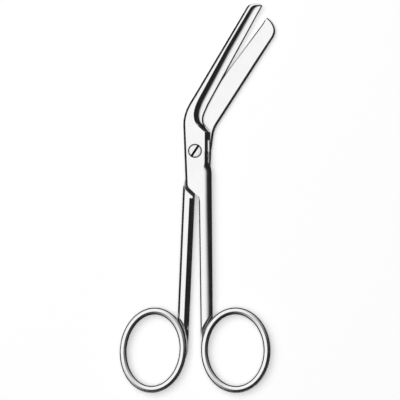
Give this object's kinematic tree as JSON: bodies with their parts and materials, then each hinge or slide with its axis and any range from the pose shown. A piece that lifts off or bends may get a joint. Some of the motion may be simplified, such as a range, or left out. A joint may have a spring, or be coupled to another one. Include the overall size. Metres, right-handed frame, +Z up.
{
  "type": "episiotomy scissors",
  "caption": "Angle-bladed surgical scissors with blunt rounded tips, straight shanks and oval finger rings, hinged on a slotted joint screw.",
  "frame": {"origin": "on the joint's pivot axis, at the surface that the scissors lie on", "axes": "+Y from the finger rings towards the blades along the shanks, +Z up from the surface along the pivot axis, towards the screw's slotted head, +X to the side that the blades bend to"},
  "size_m": [0.0581, 0.1452, 0.0045],
  "materials": {
    "instrument_steel": "polished stainless instrument steel",
    "screw_steel": "bright turned stainless steel"
  },
  "bodies": {
    "back_body": {"back_half": "instrument_steel", "joint_screw": "screw_steel"},
    "front_body": {"front_half": "instrument_steel"}
  },
  "joints": [
    {"name": "scissor_hinge", "type": "hinge", "parent": "back_body", "child": "front_body", "pos_m": [0, 0, 0.00215], "axis": [0, 0, 1], "range_deg": [-3.6, 110]}
  ]
}
